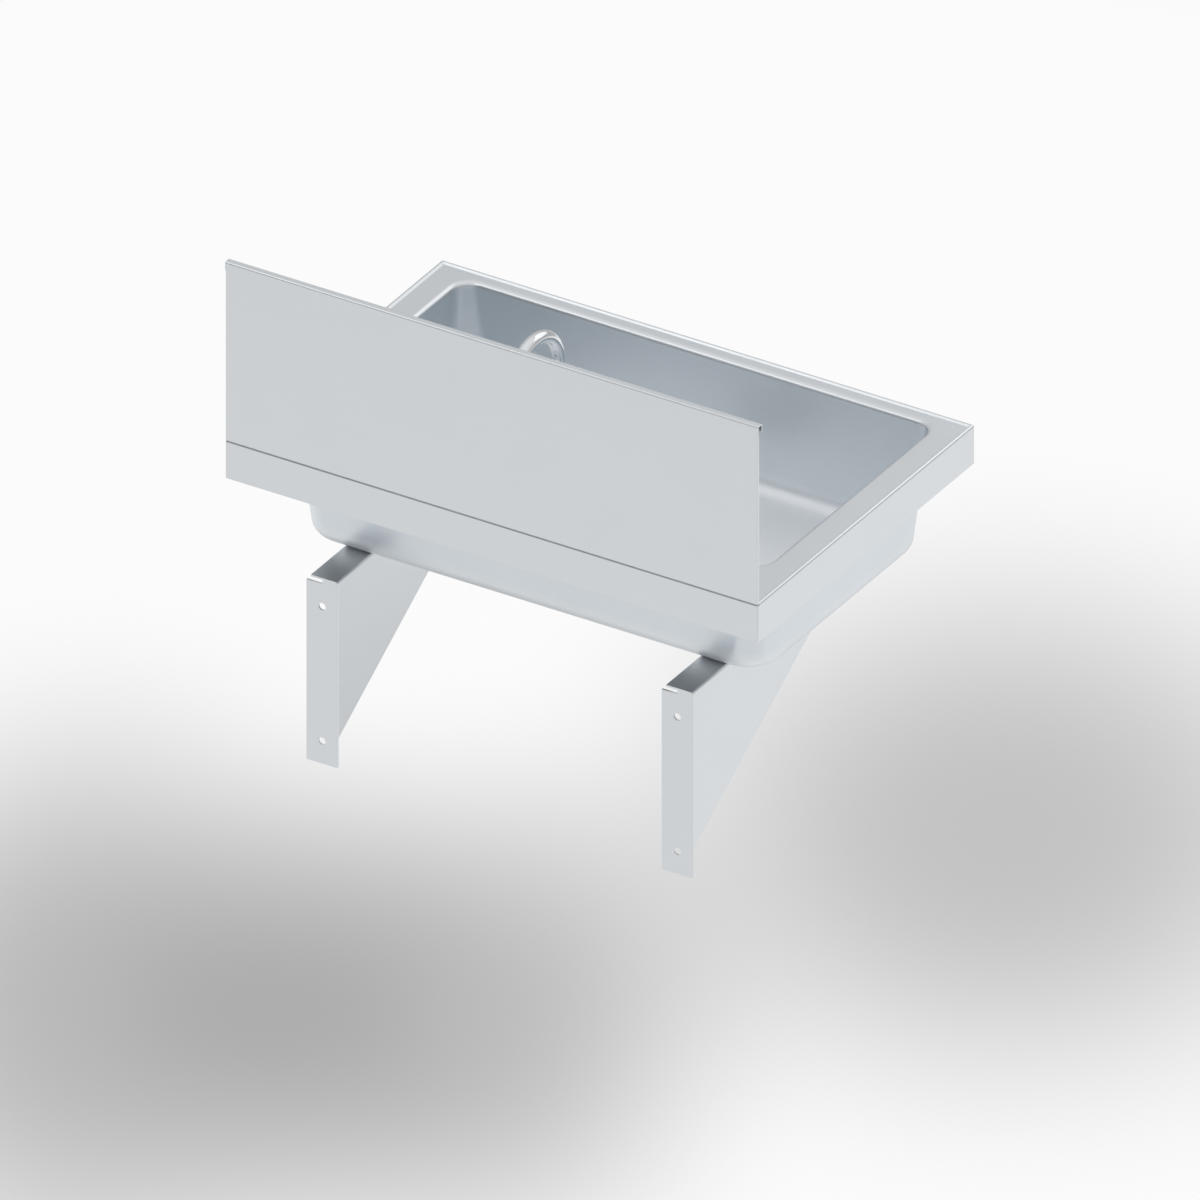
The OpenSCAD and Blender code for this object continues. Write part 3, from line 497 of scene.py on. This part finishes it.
def threadRings(centre, radius, low, high, pitch, depth, steps=72, perTurn=6):
    # rings from high to low whose radius runs in a helix, fading out at both ends
    rings = []
    count = round((high - low) / pitch * perTurn)
    for row in range(count + 1):
        z = high - (high - low) * row / count
        fade = min(1.0, (high - z) / pitch, (z - low) / pitch)
        ring = []
        for i in range(steps):
            phase = z / pitch - i / steps
            groove = abs(2 * (phase - math.floor(phase)) - 1) * depth * fade
            angle = 2 * math.pi * i / steps
            ring.append((centre[0] + (radius - groove) * math.cos(angle),
                         centre[1] + (radius - groove) * math.sin(angle), z))
        rings.append(ring)
    return rings


threadSharp = 50  # a thread's flanks stay smooth up to this angle


shank = {"radius": 16.4, "bore": 14.0, "high": 7.2, "threadHigh": -2.0, "low": -43.8, "pitch": 1.5,
         "depth": 0.8}


def makeShank():
    centre = (tap["x"], tap["y"])
    rings = [circleRing(shank["radius"], shank["high"], centre)]
    rings += threadRings(centre, shank["radius"], shank["low"], shank["threadHigh"], shank["pitch"],
                         shank["depth"])
    rings += [circleRing(shank["bore"], z, centre) for z in (shank["low"], shank["high"])]
    makePiece("shankThread", loft(rings), "turnedBrass", "sink", "tap_shank", threadSharp)


waste = {"flange": 36.0, "flangeTop": -137.5, "flangeDrop": 3.0, "cup": 29.0, "cupDrop": 14.0, "tail": 23.9,
         "wall": 2.6, "mouthBore": 26.0, "mouthEdge": 0.5, "low": -199.5, "pitch": 2.3, "depth": 1.1,
         "flangeRound": 0.6, "cupRound": 0.8, "neckRound": 1.0, "neckEnd": 2, "threadStart": 3,
         "boss": 7.0, "bossChamfer": 0.5, "screwHole": 3.1, "spider": 8.0, "rib": 3.0, "ribs": 3,
         "ribFoot": 0.3, "ribRound": 0.8, "ribSteps": 3, "ribOverlap": 1}


def makeWaste():
    centre = (0, mouth["centreY"])
    topZ = waste["flangeTop"]
    cupZ = topZ - waste["flangeDrop"]
    floorZ = cupZ - waste["cupDrop"]
    tail, bore = waste["tail"], waste["tail"] - waste["wall"]
    flangeRound, neckRound = waste["flangeRound"], waste["neckRound"]
    head = roundPath([(waste["mouthBore"], topZ, 0), (waste["flange"], topZ, flangeRound),
                      (waste["flange"], cupZ, flangeRound), (waste["cup"], cupZ, waste["cupRound"]),
                      (tail, floorZ, neckRound), (tail, floorZ - waste["neckEnd"], 0)])
    rings = [circleRing(r, z, centre) for r, z in head]
    rings += threadRings(centre, tail, waste["low"], floorZ - waste["threadStart"], waste["pitch"],
                         waste["depth"])
    inside = roundPath([(bore, waste["low"], 0), (bore, floorZ, neckRound),
                        (waste["mouthBore"], cupZ, neckRound),
                        (waste["mouthBore"], topZ - waste["mouthEdge"], 0)])
    rings += [circleRing(r, z, centre) for r, z in inside]
    parts = [loft(rings)]
    wide, chamfer, bossTop = waste["boss"], waste["bossChamfer"], floorZ + waste["spider"]
    boss = [circleRing(r, z, centre) for r, z in (
        (waste["screwHole"], floorZ), (wide - chamfer, floorZ), (wide, floorZ + chamfer),
        (wide, bossTop - chamfer), (wide - chamfer, bossTop), (waste["screwHole"], bossTop))]
    parts.append(loft(boss))
    for index in range(waste["ribs"]):
        turn = 2 * math.pi * index / waste["ribs"]
        half, high = waste["rib"] / 2, floorZ + waste["spider"] / 2
        ribRound = waste["ribRound"]
        outline = roundPath([(-half, floorZ, 0), (half, floorZ, waste["ribFoot"]), (half, high, ribRound),
                             (-half, high, ribRound), (-half, floorZ, 0)], waste["ribSteps"])[:-1]
        parts.append(prism(outline, lambda a, b, c, s=turn: (
            centre[0] + c * math.cos(s) - a * math.sin(s),
            centre[1] + c * math.sin(s) + a * math.cos(s), b),
            waste["boss"] - waste["ribOverlap"], bore + waste["ribOverlap"]))
    makePiece("wasteCup", joined(parts), "mouldedPlastic", "sink", "waste_body",
              threadSharp)


makeShank()
makeWaste()
print("threaded pieces made")


def startEdgeNodes():
    # joins the frame's split edges, and shades smooth up to an angle
    group = bpy.data.node_groups.new("softEdges", "GeometryNodeTree")
    group.interface.new_socket("Geometry", in_out="INPUT", socket_type="NodeSocketGeometry")
    group.interface.new_socket("Geometry", in_out="OUTPUT", socket_type="NodeSocketGeometry")
    tree = Builder(group)
    source = tree.add("NodeGroupInput").outputs[0]
    merged = tree.add("GeometryNodeMergeByDistance",
                      values={"Geometry": source, "Distance": edges["mergeWithin"]}).outputs[0]
    bare = tree.add("GeometryNodeRemoveAttribute",
                    values={"Geometry": merged, "Name": "custom_normal"}).outputs[0]
    smooth = tree.add("GeometryNodeSetShadeSmooth", {"domain": "FACE"},
                      {"Geometry": bare, "Shade Smooth": True})
    angle = tree.add("GeometryNodeInputMeshEdgeAngle").outputs["Unsigned Angle"]
    steep = tree.add("FunctionNodeCompare", {"data_type": "FLOAT", "operation": "GREATER_THAN"},
                     {0: angle, 1: math.radians(edges["creaseAngle"])}).outputs[0]
    sharp = tree.add("GeometryNodeSetShadeSmooth", {"domain": "EDGE"},
                     {"Geometry": smooth.outputs[0], "Selection": steep, "Shade Smooth": False})
    tree.feed(tree.add("NodeGroupOutput").inputs[0], sharp.outputs[0])
    return group


softEdges = startEdgeNodes()

# for each look, the nodes that keep their CAD shape and the width of their softened edges in mm
kept = {
    "bracketSheet": (["left_bracket", "right_bracket"], 0.30),
    "polishedSteel": (["waste_strainer", "waste_screw"], 0.15),
    "brightChrome": (["tap_body", "spout_nut", "nozzle_bush", "aerator_shell", "hot_lever",
                      "cold_lever"], 0.35),
    "turnedBrass": (["tap_back_nut", "spout_ferrule", "hot_bonnet", "cold_bonnet", "hot_spindle",
                     "cold_spindle"], 0.2),
    "turnedSteel": (["tap_metal_washer", "hot_lever_screw", "cold_lever_screw"], 0.15),
    "blackRubber": (["waste_upper_seal", "waste_lower_seal", "tap_base_gasket", "tap_rubber_washer",
                     "spout_rings", "aerator_washer", "hot_valve_seal", "cold_valve_seal",
                     "hot_spindle_ring", "cold_spindle_ring"], 0.15),
    "mouldedPlastic": (["spout_slip_ring", "aerator_insert"], 0.1),
    "lappedCeramic": (["hot_fixed_disc", "hot_turning_disc", "cold_fixed_disc", "cold_turning_disc"], 0.1),
    "redEnamel": (["hot_index_plug"], 0.2),
    "blueEnamel": (["cold_index_plug"], 0.2),
}

for look, (names, width) in kept.items():
    for name in names:
        piece = nodes[name]
        for slot in piece.material_slots:
            slot.material = finish[look]
        piece.modifiers.new("softEdges", "NODES").node_group = softEdges
        bevel = piece.modifiers.new("edgeRound", "BEVEL")
        bevel.width, bevel.segments = width * mm, edges["bevelSegments"]
        bevel.limit_method, bevel.angle_limit = "ANGLE", math.radians(edges["bevelAngle"])
        weighNormals(piece)
print("frame pieces finished")


# a pale floor that brightens from near to far between two depths, and greys between paleTo and greyFrom m
# away; each painted soft shade is x, y, half length, half depth and share, all turned alike; glow is the
# share of the floor's look that is its own light
room = {"floorZ": -0.80, "floorHalf": 30.0, "near": 0.91, "far": 1.0, "fadeFrom": -0.4, "fadeTo": 0.1,
        "glow": 0.85, "paleTo": 2.4, "greyFrom": 4.8, "greyLevel": 0.50, "turn": 31.43,
        "shades": [(-0.256, 0.340, 0.425, 0.735, 0.475), (0.015, 0.920, 0.58, 0.81, 0.435),
                   (-0.560, 0.190, 0.443, 0.858, 0.495)]}
# sky: its level low down, what it gains between two heights of the unit direction, and the dim sides, each
# a direction, the cosines where the dimming starts and is full, and the share of light left there
sky = {"low": 0.46, "rises": [(0.05, 0.36, 0.21), (0.55, 0.80, 0.17)],
       "dimSides": [((-0.449, -0.735, 0.508), 0.92, 0.98, 0.28),
                    ((-0.449, -0.89, 0.05), 0.88, 0.97, 0.45)]}
panels = [{"name": "frontPanel", "spot": (0.45, 1.65, 0.95), "target": (0.1, 0.2, 0), "size": (1.5, 1.2),
           "watts": 2.8},
          {"name": "backPanel", "spot": (-0.94, -1.06, 1.46), "target": (0, 0.2, 0), "size": (1.3, 0.7),
           "watts": 4.0}]


def seenOrMirrored(tree):
    # true for what the camera, a mirror or glass sees
    path = tree.add("ShaderNodeLightPath").outputs
    mirrored = tree.math("MAXIMUM", path["Is Glossy Ray"], path["Is Transmission Ray"])
    return tree.math("MAXIMUM", path["Is Camera Ray"], mirrored)


def makeFloor():
    half = room["floorHalf"]
    mesh = bpy.data.meshes.new("floor")
    corners = [(-half, -half, 0), (half, -half, 0), (half, half, 0), (-half, half, 0)]
    mesh.from_pydata(corners, [], [(0, 1, 2, 3)])
    floor = newObject("floor", mesh)
    floor.location = (0, 0, room["floorZ"])
    material = bpy.data.materials.new("paleFloor")
    material.use_nodes = True
    tree = Builder(material.node_tree)
    place = tree.add("ShaderNodeTexCoord").outputs["Object"]
    depth = tree.add("ShaderNodeSeparateXYZ", values={0: place}).outputs["Y"]
    level = tree.ramp(depth, room["fadeFrom"], room["fadeTo"], room["near"], room["far"])
    away = tree.add("ShaderNodeVectorMath", {"operation": "LENGTH"}, {0: place}).outputs["Value"]
    grey = tree.ramp(away, room["paleTo"], room["greyFrom"], 1.0, room["greyLevel"])
    level = tree.math("MULTIPLY", level, grey)
    for x, y, halfWidth, halfDepth, share in room["shades"]:
        local = tree.add("ShaderNodeMapping", {"vector_type": "TEXTURE"},
                         {0: place, 1: (x, y, 0), 2: (0, 0, math.radians(room["turn"])),
                          3: (halfWidth, halfDepth, 1)}).outputs[0]
        # painted soft shades darken the floor's colour
        paintedShadeSpot = tree.add("ShaderNodeTexGradient", {"gradient_type": "SPHERICAL"},
                        {0: local}).outputs["Fac"]
        soft = tree.add("ShaderNodeMapRange", {"interpolation_type": "SMOOTHERSTEP"},
                        {0: paintedShadeSpot, 3: 1.0, 4: 1.0 - share}).outputs["Result"]
        level = tree.math("MULTIPLY", level, soft)
    colour = tree.add("ShaderNodeCombineColor", values={0: level, 1: level, 2: level}).outputs[0]
    matte = tree.add("ShaderNodeBsdfDiffuse", values={"Color": colour})
    glow = tree.add("ShaderNodeEmission", values={"Color": colour, "Strength": 1.0})
    own = tree.math("MULTIPLY", seenOrMirrored(tree), room["glow"])
    both = tree.add("ShaderNodeMixShader", values={0: own, 1: matte.outputs[0], 2: glow.outputs[0]})
    tree.feed(tree.add("ShaderNodeOutputMaterial").inputs["Surface"], both.outputs[0])
    mesh.materials.append(material)


def makeSky():
    world = bpy.data.worlds.new("studio")
    bpy.context.scene.world = world
    world.use_nodes = True
    tree = Builder(world.node_tree)
    way = tree.add("ShaderNodeTexCoord").outputs["Generated"]
    height = tree.add("ShaderNodeSeparateXYZ", values={0: way}).outputs["Z"]
    level = sky["low"]
    for start, stop, rise in sky["rises"]:
        more = tree.add("ShaderNodeMapRange", {"interpolation_type": "SMOOTHSTEP"},
                        {0: height, 1: start, 2: stop, 3: 0.0, 4: rise}).outputs["Result"]
        level = tree.math("ADD", level, more)
    for side, start, stop, left in sky["dimSides"]:
        toward = tuple(Vector(side).normalized())
        facing = tree.add("ShaderNodeVectorMath", {"operation": "DOT_PRODUCT"},
                          {0: way, 1: toward}).outputs["Value"]
        dim = tree.add("ShaderNodeMapRange", {"interpolation_type": "SMOOTHSTEP"},
                       {0: facing, 1: start, 2: stop, 3: 1.0, 4: left}).outputs["Result"]
        level = tree.math("MULTIPLY", level, dim)
    colour = tree.add("ShaderNodeCombineColor", values={0: level, 1: level, 2: level}).outputs[0]
    studio = tree.add("ShaderNodeBackground", values={"Color": colour, "Strength": 1.0})
    tree.feed(tree.add("ShaderNodeOutputWorld").inputs["Surface"], studio.outputs[0])


def makePanel(panel):
    lamp = bpy.data.lights.new(panel["name"], "AREA")
    lamp.shape = "RECTANGLE"
    lamp.size, lamp.size_y = panel["size"]
    lamp.energy = panel["watts"]
    holder = newObject(panel["name"], lamp)
    holder.visible_camera = False
    holder.location = panel["spot"]
    facing = Vector(panel["target"]) - Vector(panel["spot"])
    holder.rotation_euler = facing.to_track_quat("-Z", "Y").to_euler()


makeFloor()
makeSky()
for panel in panels:
    makePanel(panel)

# a parallel view: the point in its middle, its direction, its distance and how many m it shows across
view = {"centre": (0.1222, 0.0, -0.0490), "into": (-0.4491, 0.7351, -0.5079), "distance": 3.0,
        "across": 1.1530}
camera = newObject("camera", bpy.data.cameras.new("camera"))
camera.data.type = "ORTHO"
camera.data.ortho_scale = view["across"]
into = Vector(view["into"]).normalized()
camera.location = Vector(view["centre"]) - into * view["distance"]
camera.rotation_euler = into.to_track_quat("-Z", "Y").to_euler()
bpy.context.scene.camera = camera
bpy.context.scene.view_settings.view_transform = "Standard"
print("room, light and camera made")
